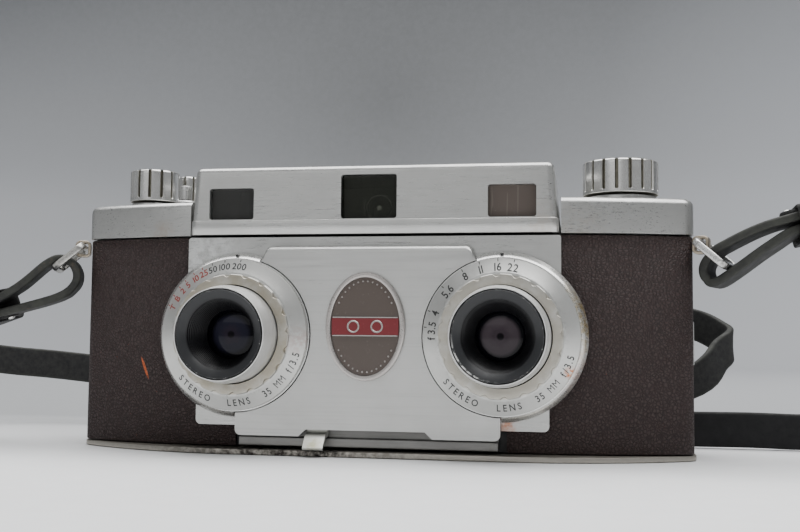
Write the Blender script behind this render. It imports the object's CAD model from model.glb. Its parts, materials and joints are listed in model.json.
"""The looks of the 35 mm stereo camera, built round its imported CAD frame.

Lengths are written in millimetres and turned into metres by MM when a mesh is
made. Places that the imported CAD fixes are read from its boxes.
"""

import json
from collections import namedtuple
import bpy
import bmesh
from math import acos, atan2, cos, degrees, hypot, pi, radians, sin, sqrt, tau
from mathutils import Matrix, Vector


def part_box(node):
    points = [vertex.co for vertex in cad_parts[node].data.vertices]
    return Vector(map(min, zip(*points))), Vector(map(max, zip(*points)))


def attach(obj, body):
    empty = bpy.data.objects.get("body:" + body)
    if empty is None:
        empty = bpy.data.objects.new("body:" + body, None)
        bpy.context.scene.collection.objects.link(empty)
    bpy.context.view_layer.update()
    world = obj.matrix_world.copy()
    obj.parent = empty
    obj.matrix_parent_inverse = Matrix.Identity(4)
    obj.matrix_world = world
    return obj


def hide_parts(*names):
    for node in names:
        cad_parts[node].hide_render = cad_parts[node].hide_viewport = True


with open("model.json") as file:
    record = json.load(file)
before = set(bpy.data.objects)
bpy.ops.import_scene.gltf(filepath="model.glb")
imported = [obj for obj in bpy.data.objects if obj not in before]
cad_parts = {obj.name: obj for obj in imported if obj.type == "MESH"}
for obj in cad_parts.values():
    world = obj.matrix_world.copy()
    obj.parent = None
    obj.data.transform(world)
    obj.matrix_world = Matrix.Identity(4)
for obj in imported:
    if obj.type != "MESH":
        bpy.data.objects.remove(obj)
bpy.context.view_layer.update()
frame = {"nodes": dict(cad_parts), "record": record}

MM = 0.001
UP = Vector((0, 0, 1))


def box_mm(node):
    """Lowest and highest corner of a CAD node, in millimetres."""
    low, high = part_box(node)
    return low / MM, high / MM


# Camera: at the height of the lenses, a little to the right, looking back to the left

CAMERA_PLACE = (56.5, -286.9, 30.5)
CAMERA_YAW, CAMERA_PITCH, CAMERA_ROLL = -0.1767, 0.0690, 0.0090
CAMERA_LENS, CAMERA_SENSOR = 47.5, 36.0


def aim_camera():
    data = bpy.data.cameras.new("view")
    data.lens, data.sensor_width = CAMERA_LENS, CAMERA_SENSOR
    data.clip_start, data.clip_end = 0.01, 20.0
    camera = bpy.data.objects.new("view", data)
    bpy.context.scene.collection.objects.link(camera)
    level_share = cos(CAMERA_PITCH)
    ahead = Vector((sin(CAMERA_YAW) * level_share, cos(CAMERA_YAW) * level_share, sin(CAMERA_PITCH)))
    level = Vector((cos(CAMERA_YAW), -sin(CAMERA_YAW), 0.0))
    upward = level.cross(ahead)
    right = level * cos(CAMERA_ROLL) + upward * sin(CAMERA_ROLL)
    above = upward * cos(CAMERA_ROLL) - level * sin(CAMERA_ROLL)
    turn = Matrix((right, above, -ahead)).transposed().to_4x4()
    camera.matrix_world = Matrix.Translation(Vector(CAMERA_PLACE) * MM) @ turn
    bpy.context.scene.camera = camera


aim_camera()


# Driving dimensions, read from the frame where it can give them

LEFT_LENS = (box_mm("left_lens_barrel")[0] + box_mm("left_lens_barrel")[1]) / 2
RIGHT_LENS = (box_mm("right_lens_barrel")[0] + box_mm("right_lens_barrel")[1]) / 2
LENS_X, LENS_Z = RIGHT_LENS.x, RIGHT_LENS.z
BASE_TOP = box_mm("base_plate")[1].z
BODY_BOTTOM, BODY_TOP = box_mm("left_leather")[0].z, box_mm("left_leather")[1].z
CAP_BOTTOM, CAP_TOP = box_mm("right_top_cap")[0].z, box_mm("right_top_cap")[1].z
CAP_START = box_mm("right_top_cap")[0].x
HOUSING_TOP = box_mm("finder_housing")[1].z
HOUSING_HALF = box_mm("finder_housing")[1].x
SEAM_Y = box_mm("left_leather")[1].y
KNOB_BOTTOM, KNOB_TOP = box_mm("rewind_knob_seat")[1].z + 0.5, box_mm("rewind_knob")[1].z
COVER_Y, COVER_BACK = box_mm("front_cover_plate")[0].y, box_mm("front_cover_plate")[1].y
DIAL_Y = COVER_Y - 1.2
DIAL_RADIUS = (box_mm("aperture_ring")[1].x - box_mm("aperture_ring")[0].x) / 2
LEATHER = 0.8
DECK_Z = 67.6          # top of the caps, where the knobs' discs lie
EYEPIECE_Z = 69.0
EYEPIECES = ("viewfinder_eyepiece", "rangefinder_eyepiece")


def middle(node):
    low, high = box_mm(node)
    return ((low.x + high.x) / 2, (low.y + high.y) / 2)


ADVANCE_AXIS, REWIND_AXIS = middle("advance_knob"), middle("rewind_knob")
FOCUS_AXIS, RELEASE_AXIS = middle("focus_knob"), middle("shutter_release")


# A body outline seen from above: flat middle, swept wings, round corners
Plan = namedtuple("Plan", "front half_width back wing_start wing_radius corner back_corner")
LEATHER_PLAN = Plan(-15.4, 83.2, 20.6, 42.0, 112.0, 4.0, 8.0)
CAP_PLAN = Plan(-16.0, 83.5, 20.9, 42.0, 110.0, 4.4, 8.0)
BASE_PLAN = Plan(-20.9, 83.8, 20.9, 36.0, 85.0, 4.4, 8.0)


# Outlines

def arc(cx, cy, radius, start, stop, steps):
    """Points along an arc, both ends included, angles in degrees."""
    points = []
    for i in range(steps + 1):
        angle = radians(start + (stop - start) * i / steps)
        points.append((cx + radius * cos(angle), cy + radius * sin(angle)))
    return points


def front_run(plan, inset, x_from=0.0):
    """The right-hand front edge, from x_from round the corner to the end face."""
    wing_x, wing_y = plan.wing_start, plan.front + plan.wing_radius
    corner_x = plan.half_width - plan.corner
    reach = plan.wing_radius - plan.corner
    corner_y = wing_y - sqrt(reach ** 2 - (corner_x - wing_x) ** 2)
    turn = degrees(atan2(corner_y - wing_y, corner_x - wing_x))
    radius = plan.wing_radius - inset
    if x_from <= wing_x:
        start = -90.0
        points = [(x_from, plan.front + inset)]
    else:
        start = -degrees(acos((x_from - wing_x) / radius))
        points = []
    points += arc(wing_x, wing_y, radius, start, turn, 28)
    points += arc(corner_x, corner_y, plan.corner - inset, turn, 0.0, 14)[1:]
    return points


def back_run(plan, inset, x_to=0.0):
    """The right-hand back edge, from the end face round to x_to."""
    centre_x = plan.half_width - plan.back_corner
    centre_y = plan.back - plan.back_corner
    points = arc(centre_x, centre_y, plan.back_corner - inset, 0.0, 90.0, 20)
    return points + [(x_to, plan.back - inset)]


def mirrored(right):
    """Close a right-hand run that starts and ends on x = 0 with its mirror image."""
    left = [(-x, y) for x, y in reversed(right) if x > 1e-6]
    return right + left


def whole_plan(plan, inset):
    return mirrored(front_run(plan, inset) + back_run(plan, inset))


def end_plan(plan, inset, x_from, side):
    """One end of the body beyond x_from; side is 1 for the right, -1 for the left."""
    points = front_run(plan, inset, x_from) + back_run(plan, inset, x_from)
    return [(side * x, y) for x, y in points]


def round_rectangle(x0, x1, y0, y1, radius, steps=8):
    corners = ((x1 - radius, y0 + radius, -90), (x1 - radius, y1 - radius, 0),
               (x0 + radius, y1 - radius, 90), (x0 + radius, y0 + radius, 180))
    points = []
    for cx, cy, start in corners:
        points += arc(cx, cy, radius, start, start + 90, steps)
    return points


def filleted(points, radii, steps=5, closed=True):
    """Round each corner of a profile by its own radius; 0 leaves it sharp."""
    made, count = [], len(points)
    for i, point in enumerate(points):
        radius = radii[i] if isinstance(radii, (list, tuple)) else radii
        if radius <= 0 or (not closed and i in (0, count - 1)):
            made.append(tuple(point))
            continue
        here = Vector(point)
        before = Vector(points[i - 1]) - here
        after = Vector(points[(i + 1) % count]) - here
        reach = min(radius, before.length * 0.45, after.length * 0.45)
        start, stop = here + before.normalized() * reach, here + after.normalized() * reach
        for k in range(steps + 1):
            t = k / steps
            made.append(tuple(start * (1 - t) ** 2 + here * 2 * t * (1 - t) + stop * t ** 2))
    return made


# Meshes. Every piece is made in place, with its origin at the frame's origin

def smooth_from(mesh, angle):
    mesh.shade_smooth()
    mesh.set_sharp_from_angle(angle=radians(angle))


def make_piece(name, vertices, faces, finish, sharp=32):
    """A closed mesh in millimetres, made into an object in metres."""
    mesh = bpy.data.meshes.new(name)
    mesh.from_pydata([tuple(c * MM for c in v) for v in vertices], [], faces)
    work = bmesh.new()
    work.from_mesh(mesh)
    bmesh.ops.recalc_face_normals(work, faces=work.faces)
    work.to_mesh(mesh)
    work.free()
    smooth_from(mesh, sharp)
    piece = bpy.data.objects.new(name, mesh)
    piece.data.materials.append(finish)
    bpy.context.scene.collection.objects.link(piece)
    return piece


def loft(rings, looped=False, capped=True):
    """Skin rings of equal length; cap both ends, or join the last to the first."""
    count = len(rings[0])
    vertices = [point for ring in rings for point in ring]
    faces = []
    for k in range(len(rings) if looped else len(rings) - 1):
        a, b = k * count, ((k + 1) % len(rings)) * count
        for i in range(count):
            j = (i + 1) % count
            faces.append((a + i, a + j, b + j, b + i))
    if capped and not looped:
        faces.append(tuple(range(count)))
        faces.append(tuple(range((len(rings) - 1) * count, len(rings) * count)))
    return vertices, faces


def upright_stack(outline_at, levels):
    """Outlines in X and Y at (z, inset) levels."""
    return loft([[(x, y, z) for x, y in outline_at(inset)] for z, inset in levels])


def facing(outline, front, back):
    """An outline in X and Z, extruded along Y."""
    return loft([[(x, y, z) for x, z in outline] for y in (front, back)])


def box(x0, x1, y0, y1, z0, z1):
    return loft([[(x, y, z) for x, y in ((x0, y0), (x1, y0), (x1, y1), (x0, y1))] for z in (z0, z1)])


def turned(profile, centre, axis, segments=144, looped=True, cut=None):
    """Turn (radius, station) pairs about an axis through centre.

    A station is a height for axis Z, or the distance forward of centre for
    axis Y. cut(angle, radius, station) gives how much a point is cut back.
    """
    rings = []
    for radius, station in profile:
        ring = []
        for i in range(segments):
            angle = tau * i / segments
            r = radius - (cut(angle, radius, station) if cut else 0.0)
            if axis == "Z":
                ring.append((centre[0] + r * cos(angle), centre[1] + r * sin(angle), centre[2] + station))
            else:
                ring.append((centre[0] + r * cos(angle), centre[1] - station, centre[2] + r * sin(angle)))
        rings.append(ring)
    return loft(rings, looped)


def joined(*shapes):
    vertices, faces = [], []
    for shape_vertices, shape_faces in shapes:
        start = len(vertices)
        vertices += shape_vertices
        faces += [tuple(start + i for i in face) for face in shape_faces]
    return vertices, faces


def applied(piece):
    """Turn a piece's modifiers into its mesh."""
    depsgraph = bpy.context.evaluated_depsgraph_get()
    mesh = bpy.data.meshes.new_from_object(piece.evaluated_get(depsgraph))
    piece.modifiers.clear()
    piece.data = mesh
    return piece


def cut_out(piece, *shapes):
    """Cut shapes out of a piece and keep the result as its mesh."""
    tools = []
    for i, (vertices, faces) in enumerate(shapes):
        tool = make_piece(f"{piece.name}_cut_{i}", vertices, faces, piece.data.materials[0])
        step = piece.modifiers.new(tool.name, "BOOLEAN")
        step.operation, step.solver, step.object = "DIFFERENCE", "EXACT", tool
        tools.append(tool)
    bpy.context.view_layer.update()
    applied(piece)
    for tool in tools:
        bpy.data.objects.remove(tool, do_unlink=True)
    return piece


def softened(piece, width, angle=35, segments=3):
    """Round the sharp edges and keep the result as the mesh."""
    step = piece.modifiers.new("soft_edges", "BEVEL")
    step.width, step.segments = width * MM, segments
    step.limit_method, step.angle_limit = "ANGLE", radians(angle)
    step.harden_normals = True
    smooth_from(piece.data, angle)
    bpy.context.view_layer.update()
    return applied(piece)


def settle(piece, body, slot, *nodes):
    """A finished piece rides on its body, takes a slot's finish and stands for CAD nodes."""
    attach(piece, body)
    if nodes:
        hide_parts(*nodes)
    return piece


def add(name, shape, finish, body, slot, *nodes, sharp=32):
    """Make a piece that needs no further work and settle it."""
    return settle(make_piece(name, *shape, finish, sharp=sharp), body, slot, *nodes)


def both_sides():
    return ((-1, "left", LEFT_LENS), (1, "right", RIGHT_LENS))


# Materials: one small builder, then one function for each finish

class Finish:
    """A Principled material with procedural nodes, in the frame's coordinates."""

    def __init__(self, name, colour, roughness, metallic=0.0, **sockets):
        self.material = bpy.data.materials.new(name)
        self.material.use_nodes = True
        self.tree = self.material.node_tree
        self.shader = self.tree.nodes["Principled BSDF"]
        self.set(self.shader, "Base Color", (*colour, 1.0))
        self.set(self.shader, "Roughness", roughness)
        self.set(self.shader, "Metallic", metallic)
        for socket, value in sockets.items():
            self.set(self.shader, socket.replace("_", " "), value)
        self.material.diffuse_color = (*colour, 1.0)
        self.where = self.tree.nodes.new("ShaderNodeTexCoord").outputs["Object"]
        self.bumps = []

    def set(self, node, socket, value):
        if isinstance(value, bpy.types.NodeSocket):
            self.tree.links.new(value, node.inputs[socket])
        else:
            node.inputs[socket].default_value = value

    def node(self, kind, settings=None, **sockets):
        made = self.tree.nodes.new(kind)
        for key, value in (settings or {}).items():
            setattr(made, key, value)
        for socket, value in sockets.items():
            self.set(made, socket.replace("_", " "), value)
        return made

    def stretched(self, scale=(1, 1, 1), shift=(0, 0, 0)):
        """The frame's coordinates in millimetres, scaled and shifted."""
        sized = tuple(s / MM for s in scale)
        return self.node("ShaderNodeMapping", Vector=self.where, Scale=sized,
                         Location=shift).outputs["Vector"]

    def noise(self, size, detail=3.0, rough=0.5, stretch=(1, 1, 1), shift=(0, 0, 0), warp=0.0):
        """Noise with features about size millimetres across, from 0 to 1."""
        place = self.stretched(tuple(s / size for s in stretch), shift)
        return self.node("ShaderNodeTexNoise", Vector=place, Scale=1.0, Detail=detail, Roughness=rough,
                         Distortion=warp).outputs["Fac"]

    def fit(self, value, low, high, out_low=0.0, out_high=1.0):
        """Spread a value between two levels, held inside them."""
        made = self.node("ShaderNodeMapRange", {"clamp": True})
        for key, number in zip(("Value", "From Min", "From Max", "To Min", "To Max"),
                               (value, low, high, out_low, out_high)):
            self.set(made, key, number)
        return made.outputs["Result"]

    def maths(self, operation, a, b=0.0):
        made = self.node("ShaderNodeMath", {"operation": operation})
        for index, value in enumerate((a, b)):
            self.set(made, index, value)
        return made.outputs[0]

    def times(self, a, b):
        return self.maths("MULTIPLY", a, b)

    def mixed(self, share, one, other, strength=None):
        """Mix two colours; each is a socket or three numbers. strength scales the share."""
        share = self.times(share, strength) if strength else share
        made = self.node("ShaderNodeMix", {"data_type": "RGBA"})
        self.set(made, 0, share)
        for index, value in ((6, one), (7, other)):
            self.set(made, index, value if isinstance(value, bpy.types.NodeSocket) else (*value, 1.0))
        return made.outputs[2]

    def length(self, vector):
        made = self.node("ShaderNodeVectorMath", {"operation": "LENGTH"})
        self.set(made, 0, vector)
        return made.outputs["Value"]

    def axis(self, letter):
        """One coordinate of the frame, in millimetres."""
        split = self.node("ShaderNodeSeparateXYZ", Vector=self.stretched())
        return split.outputs[letter]

    def near(self, place, reach, soft=0.5, stretch=(1, 1, 1)):
        """1 at a place, falling to 0 at reach millimetres away; soft is the share that fades."""
        flat = tuple(s / reach for s in stretch)
        shift = tuple(-p * f for p, f in zip(place, flat))
        return self.fit(self.length(self.stretched(flat, shift=shift)), 1.0, 1.0 - soft)

    def radial(self, centre, flat=(1, 0, 1)):
        """Distance in millimetres from an axis through centre; flat is 0 along the axis."""
        shift = tuple(-c * s for c, s in zip(centre, flat))
        return self.length(self.stretched(flat, shift=shift))

    def stained(self, tone, stains, soft, blotch, low, high):
        """Blotchy stains over a colour; each has a place, a reach, a colour and a strength."""
        for place, reach, stain, strength in stains:
            edge = self.times(self.near(place, reach, soft),
                              self.fit(self.noise(blotch, 4.0, 0.6), low, high))
            tone = self.mixed(edge, tone, stain, strength)
        return tone

    def line_wear(self, start, stop, width, broken=0.35):
        """A broken scratch from start to stop, seen along Y."""
        dx, dz = stop[0] - start[0], stop[2] - start[2]
        offset = self.node("ShaderNodeVectorMath", {"operation": "SUBTRACT"})
        self.set(offset, 0, self.stretched())
        self.set(offset, 1, tuple((a + b) / 2 for a, b in zip(start, stop)))
        spun = self.node("ShaderNodeMapping", Vector=offset.outputs[0], Rotation=(0.0, atan2(dz, dx), 0.0))
        thin = self.node("ShaderNodeMapping", Vector=spun.outputs["Vector"],
                         Scale=(2 / hypot(dx, dz), 0.02, 2 / width))
        inside = self.fit(self.length(thin.outputs["Vector"]), 1.0, 0.7)
        breaks = self.fit(self.noise(0.8, 2.0), broken, broken + 0.1)
        return self.times(inside, breaks)

    def paint(self, colour):
        self.set(self.shader, "Base Color", colour)

    def shine(self, roughness):
        self.set(self.shader, "Roughness", roughness)

    def raise_by(self, height, depth):
        """Add a bump: a 0 to 1 height, and its depth in millimetres."""
        bump = self.node("ShaderNodeBump", Strength=1.0, Distance=depth * MM, Height=height)
        if self.bumps:
            self.tree.links.new(self.bumps[-1].outputs["Normal"], bump.inputs["Normal"])
        self.bumps.append(bump)
        self.tree.links.new(bump.outputs["Normal"], self.shader.inputs["Normal"])


def satin_metal(name, colour=(0.56, 0.56, 0.545), roughness=0.31, grain=(0.04, 1, 1), stains=(), dirt=0.12):
    """Satin aluminium or chrome plate: brushed grain, faint clouds, small scratches and stains."""
    made = Finish(name, colour, roughness, 0.88)
    clouds = made.noise(14.0, 4.0, 0.6)
    fine = made.noise(0.22, 2.0, 0.6, stretch=grain)
    worn = tuple(c * (1.0 - dirt) for c in colour)
    tone = made.mixed(made.fit(clouds, 0.35, 0.70), colour, worn)
    streaks = made.noise(0.55, 3.0, 0.65, stretch=(grain[0] * 0.8, 1, grain[2]), shift=(2, 7, 1))
    tone = made.mixed(made.fit(streaks, 0.50, 0.72, 0.0, 0.30), tone, tuple(c * 0.72 for c in colour))
    specks = made.fit(made.noise(0.9, 3.0, 0.7), 0.70, 0.76)
    tone = made.mixed(specks, tone, tuple(c * 0.62 for c in colour), 0.5)
    made.paint(made.stained(tone, stains, 0.8, 1.6, 0.35, 0.6))
    lines = made.fit(made.noise(0.5, 1.0, 0.5, stretch=(0.03, 1, 1), shift=(3, 1, 7), warp=0.6), 0.66, 0.70)
    rough = made.fit(fine, 0.3, 0.7, roughness - 0.07, roughness + 0.09)
    rough = made.maths("ADD", rough, made.fit(clouds, 0.4, 0.75, 0.0, 0.07))
    made.shine(made.maths("SUBTRACT", rough, made.times(lines, 0.06)))
    made.raise_by(fine, 0.012)
    made.raise_by(made.noise(5.0, 2.0, 0.5, shift=(9, 2, 4)), 0.03)
    return made.material


def polished_metal(name, colour=(0.72, 0.72, 0.71), roughness=0.16):
    made = Finish(name, colour, roughness, 1.0)
    haze = made.noise(3.0, 4.0, 0.6)
    pits = made.fit(made.noise(0.5, 3.0, 0.7), 0.66, 0.74)
    made.paint(made.mixed(pits, colour, tuple(c * 0.45 for c in colour)))
    made.shine(made.fit(haze, 0.3, 0.7, roughness - 0.04, roughness + 0.14))
    made.raise_by(made.noise(0.7, 2.0, 0.5), 0.012)
    return made.material


PEBBLE = 0.85          # millimetres from one pebble to the next


def leatherette(name="pebbled_leather"):
    """Dark brown covering: wrinkled pebbles, sheen on the crests, orange-red scuffs."""
    made = Finish(name, (0.042, 0.025, 0.023), 0.55, 0.0, Specular_IOR_Level=0.40)
    warp = made.noise(2.4, 3.0, 0.5)
    place = made.node("ShaderNodeVectorMath", {"operation": "ADD"})
    made.set(place, 0, made.stretched((1 / PEBBLE, 1 / PEBBLE, 1 / PEBBLE)))
    wander = made.node("ShaderNodeTexNoise", Vector=made.stretched((0.5, 0.5, 0.5)), Scale=1.0, Detail=2.0)
    made.set(place, 1, wander.outputs["Color"])
    edges = {"feature": "DISTANCE_TO_EDGE"}
    pebble = made.node("ShaderNodeTexVoronoi", edges, Vector=place.outputs[0], Scale=1.0)
    crest = made.fit(pebble.outputs["Distance"], 0.0, 0.28)
    fine = made.noise(0.16, 3.0, 0.6)
    tone = made.mixed(crest, (0.014, 0.008, 0.0075), (0.046, 0.029, 0.027))
    tone = made.mixed(made.fit(warp, 0.3, 0.75, 0.0, 0.55), tone, (0.030, 0.015, 0.014))
    dust = made.fit(made.noise(0.55, 3.0, 0.65, shift=(5, 5, 5)), 0.68, 0.76, 0.0, 0.5)
    tone = made.mixed(dust, tone, (0.17, 0.13, 0.12))
    scuffs = made.line_wear((-64.4, 0, 25.4), (-61.6, 0, 18.6), 0.9, 0.30)
    small = made.fit(made.noise(0.9, 4.0, 0.7, shift=(2, 8, 3)), 0.70, 0.73)
    places = made.near((-74.0, -10, 20.0), 14.0, 0.8)
    for centre, reach, soft in (((-66.0, -10, 9.0), 15.0, 0.8), ((82.0, -6, 14.0), 16.0, 0.8),
                                ((60.0, -10, 30.0), 12.0, 0.7)):
        places = made.maths("MAXIMUM", places, made.near(centre, reach, soft))
    scuffs = made.maths("MAXIMUM", scuffs, made.times(small, places))
    scuffs = made.times(scuffs, made.fit(made.axis("Y"), 5.0, 12.0, 1.0, 0.0))
    tone = made.mixed(scuffs, tone, (0.46, 0.10, 0.03))
    made.paint(tone)
    made.shine(made.fit(crest, 0.0, 1.0, 0.72, 0.50))
    made.raise_by(crest, 0.17)
    made.raise_by(fine, 0.03)
    return made.material


def black_enamel(name, roughness=0.38, worn=0.0):
    """Black paint, dusty in the hollows, bright where it is worn through."""
    made = Finish(name, (0.012, 0.012, 0.013), roughness, 0.0)
    dust = made.fit(made.noise(0.8, 4.0, 0.7), 0.62, 0.80, 0.0, 0.35)
    tone = made.mixed(dust, (0.012, 0.012, 0.013), (0.10, 0.10, 0.10))
    if worn:
        chips = made.fit(made.noise(0.9, 4.0, 0.7, shift=(1, 6, 2)), 0.62 - worn, 0.66 - worn)
        tone = made.mixed(chips, tone, (0.45, 0.45, 0.44))
    made.paint(tone)
    made.shine(made.fit(made.noise(2.0, 3.0, 0.6), 0.3, 0.7, roughness - 0.06, roughness + 0.10))
    made.raise_by(made.noise(0.3, 2.0, 0.5), 0.008)
    return made.material


def dial_metal(name, centre, stain_share, stains=()):
    """Satin dial plate: turned grain, tan grime on the inner flat, grey rubs by the step."""
    colour = (0.60, 0.60, 0.58)
    made = Finish(name, colour, 0.36, 0.80)
    distance = made.radial(centre)
    clouds = made.noise(5.0, 4.0, 0.6)
    tone = made.mixed(made.fit(clouds, 0.35, 0.70), colour, tuple(c * 0.92 for c in colour))
    inner = made.times(made.fit(distance, 15.75, 15.35), made.fit(clouds, 0.25, 0.55, 0.35, 1.0))
    tone = made.mixed(inner, tone, (0.385, 0.345, 0.265), stain_share)
    step = made.times(made.fit(distance, 17.4, 15.9), made.fit(distance, 14.0, 15.6))
    rubs = made.times(step, made.fit(made.noise(0.9, 4.0, 0.7), 0.52, 0.66))
    tone = made.mixed(rubs, tone, (0.25, 0.25, 0.25), 0.35)
    specks = made.fit(made.noise(0.7, 3.0, 0.7, shift=(4, 4, 1)), 0.70, 0.76)
    tone = made.mixed(specks, tone, (0.33, 0.31, 0.29), 0.4)
    made.paint(made.stained(tone, stains, 0.7, 1.2, 0.40, 0.55))
    fine = made.noise(0.25, 2.0, 0.6)
    made.shine(made.fit(fine, 0.3, 0.7, 0.30, 0.44))
    made.raise_by(fine, 0.010)
    return made.material


def barrel_metal(name, centre):
    """Turned aluminium: faint rings about the lens axis, small nicks."""
    made = Finish(name, (0.72, 0.72, 0.71), 0.42, 0.65)
    across = made.node("ShaderNodeCombineXYZ", X=made.radial(centre)).outputs[0]
    wave = made.node("ShaderNodeTexWave", {"wave_type": "BANDS", "bands_direction": "X"},
                     Vector=across, Scale=1.1, Distortion=0.0)
    haze = made.noise(2.6, 4.0, 0.6)
    nicks = made.fit(made.noise(0.7, 3.0, 0.75, shift=(2, 2, 6)), 0.70, 0.75)
    tone = made.mixed(made.fit(haze, 0.35, 0.7), (0.72, 0.72, 0.71), (0.66, 0.655, 0.64))
    made.paint(made.mixed(nicks, tone, (0.36, 0.34, 0.32), 0.4))
    made.shine(made.fit(haze, 0.3, 0.7, 0.36, 0.46))
    made.raise_by(wave.outputs["Fac"], 0.006)
    return made.material


def name_ring_enamel(name, centre, chip_place=None):
    """Semi-gloss black of a lens ring, dark grey where it is turned shallow, chipped at one edge."""
    made = Finish(name, (0.014, 0.014, 0.015), 0.34, 0.0, Specular_IOR_Level=0.34)
    distance = made.radial(centre)
    face = made.fit(distance, 8.9, 9.2)
    tone = made.mixed(face, (0.004, 0.004, 0.005), (0.026, 0.027, 0.029))
    dust = made.fit(made.noise(0.7, 4.0, 0.7), 0.62, 0.80, 0.0, 0.25)
    tone = made.mixed(dust, tone, (0.12, 0.12, 0.12))
    rim = made.fit(distance, 11.0, 11.12)
    bare = made.fit(made.noise(0.8, 4.0, 0.7, shift=(1, 6, 2)), 0.60, 0.64)
    chips = made.times(rim, bare)
    if chip_place:
        close = made.near(chip_place, 9.0, 0.7)
        wide = made.times(made.fit(distance, 10.75, 10.95), made.fit(made.noise(0.9, 4.0, 0.7), 0.45, 0.52))
        chips = made.maths("MAXIMUM", chips, made.times(wide, close))
    tone = made.mixed(chips, tone, (0.60, 0.60, 0.58))
    made.paint(tone)
    made.shine(made.fit(made.noise(2.0, 3.0, 0.6), 0.3, 0.7, 0.28, 0.42))
    return made.material


def coated_lens(name, centre, bloom_tint):
    """The front glass as it looks stopped down: a violet bloom, dark at the rim, a dark centre."""
    made = Finish(name, (0.01, 0.01, 0.012), 0.04, 0.0, Specular_IOR_Level=0.16)
    distance = made.radial(centre)
    bloom = made.fit(distance, 5.3, 4.3)
    tone = made.mixed(bloom, (0.003, 0.003, 0.005), bloom_tint)
    ragged = made.fit(made.noise(1.4, 3.0, 0.6), 0.3, 0.7, -0.5, 0.5)
    inner = made.fit(made.maths("ADD", distance, ragged), 3.0, 1.6)
    tone = made.mixed(inner, tone, (0.038, 0.026, 0.036), 0.5)
    tone = made.mixed(made.fit(distance, 1.1, 0.7), tone, (0.006, 0.005, 0.007))
    made.paint(tone)
    made.shine(made.fit(made.noise(2.0, 4.0, 0.7), 0.4, 0.8, 0.03, 0.12))
    return made.material


def window_glass(name, tint, haze=0.08):
    """Old finder glass: dark and smoky, with dust along its lower edge and hairline scratches."""
    made = Finish(name, tint, 0.03, 0.0, Specular_IOR_Level=0.3)
    made.set(made.shader, "IOR", 1.45)
    specks = made.fit(made.noise(0.35, 4.0, 0.75), 0.64, 0.72)
    low = made.fit(made.axis("Z"), 66.5, 63.5, 0.25, 1.0)
    dust = made.times(specks, low)
    scratches = made.fit(made.noise(0.8, 1.0, 0.4, stretch=(1, 1, 0.06), warp=0.8), 0.67, 0.69, 0.0, 0.25)
    dust = made.maths("MAXIMUM", dust, scratches)
    made.set(made.shader, "Transmission Weight", made.fit(dust, 0.0, 1.0, 1.0 - haze, 0.72 - haze))
    made.shine(made.fit(dust, 0.0, 1.0, 0.03, 0.4))
    made.paint(made.mixed(dust, tint, (0.30, 0.29, 0.25)))
    return made.material


def plain_paint(name, colour, roughness=0.45):
    made = Finish(name, colour, roughness, 0.0)
    worn = made.fit(made.noise(0.5, 3.0, 0.7), 0.62, 0.74, 0.0, 0.4)
    made.paint(made.mixed(worn, colour, tuple(min(1.0, c * 2.0 + 0.06) for c in colour)))
    return made.material


def waxed_thread():
    made = Finish("waxed_thread", (0.035, 0.033, 0.030), 0.6, 0.0)
    twist = made.noise(0.25, 2.0, 0.5)
    made.paint(made.mixed(made.fit(twist, 0.3, 0.7), (0.02, 0.02, 0.019), (0.06, 0.057, 0.05)))
    made.raise_by(twist, 0.03)
    return made.material



# Neck strap: one flat leather strap from ring to ring

STRAP_WIDTH, STRAP_THICKNESS = 10.0, 2.2
STRAP_ROUTE = (
    (-119.0, -8.1, 34.4), (-107.0, -10.6, 36.9), (-91.5, -10.3, 41.0), (-87.2, -8.6, 44.0),
    (-86.2, -7.7, 47.5), (-87.6, -8.0, 50.8), (-90.6, -9.0, 52.2), (-94.2, -10.3, 50.6),
    (-102.2, -11.7, 43.9), (-115.5, -9.4, 38.0), (-136.0, -1.8, 34.6), (-154.5, 12.0, 31.6),
    (-163.5, 32.0, 27.8), (-161.0, 51.0, 24.2), (-146.5, 62.5, 21.6), (-117.0, 66.5, 18.9),
    (-4.3, 63.5, 7.6), (78.0, 52.0, 15.1), (97.8, 57.5, 27.0), (98.7, 66.0, 31.8),
    (81.0, 73.0, 37.3), (31.0, 68.0, 31.0), (1.5, 53.0, 19.1), (3.3, 36.0, 8.5), (32.0, 30.6, 5.5),
    (98.0, 29.2, 5.5), (122.0, 27.4, 6.3), (140.5, 18.5, 16.0), (147.0, 4.0, 34.5),
    (139.0, -6.5, 52.5), (121.5, -11.3, 62.6), (103.5, -11.8, 60.0), (91.2, -9.3, 54.6),
    (88.0, -8.1, 51.8), (86.6, -7.6, 48.9), (87.4, -7.9, 46.3), (90.2, -9.0, 45.8),
    (101.3, -11.7, 53.9), (108.5, -11.8, 58.1), (119.0, -11.5, 60.0),
)
TWIST_LEFT = (9, 14)
TWIST_RIGHT = (25, 30)
LUG_SLANT = (0.937, 0.350)


def corner_frame(side):
    """Unit vectors out of the body's corner and along its edge, for one side."""
    out = Vector((side * LUG_SLANT[0], -LUG_SLANT[1], 0.0)).normalized()
    along = Vector((side * LUG_SLANT[1], LUG_SLANT[0], 0.0)).normalized()
    return out, along


def smooth_route(points, pieces):
    """Catmull-Rom points through the route, a few to each stretch."""
    route = [Vector(p) for p in points]
    route = [2 * route[0] - route[1]] + route + [2 * route[-1] - route[-2]]
    line, places = [], []
    for i in range(1, len(route) - 2):
        p0, p1, p2, p3 = route[i - 1:i + 3]
        for k in range(pieces):
            t = k / pieces
            line.append(0.5 * (2 * p1 + (p2 - p0) * t + (2 * p0 - 5 * p1 + 4 * p2 - p3) * t ** 2
                               + (3 * p1 - p0 - 3 * p2 + p3) * t ** 3))
            places.append(i - 1 + t)
    line.append(route[-2])
    places.append(len(points) - 1)
    return line, places


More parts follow.
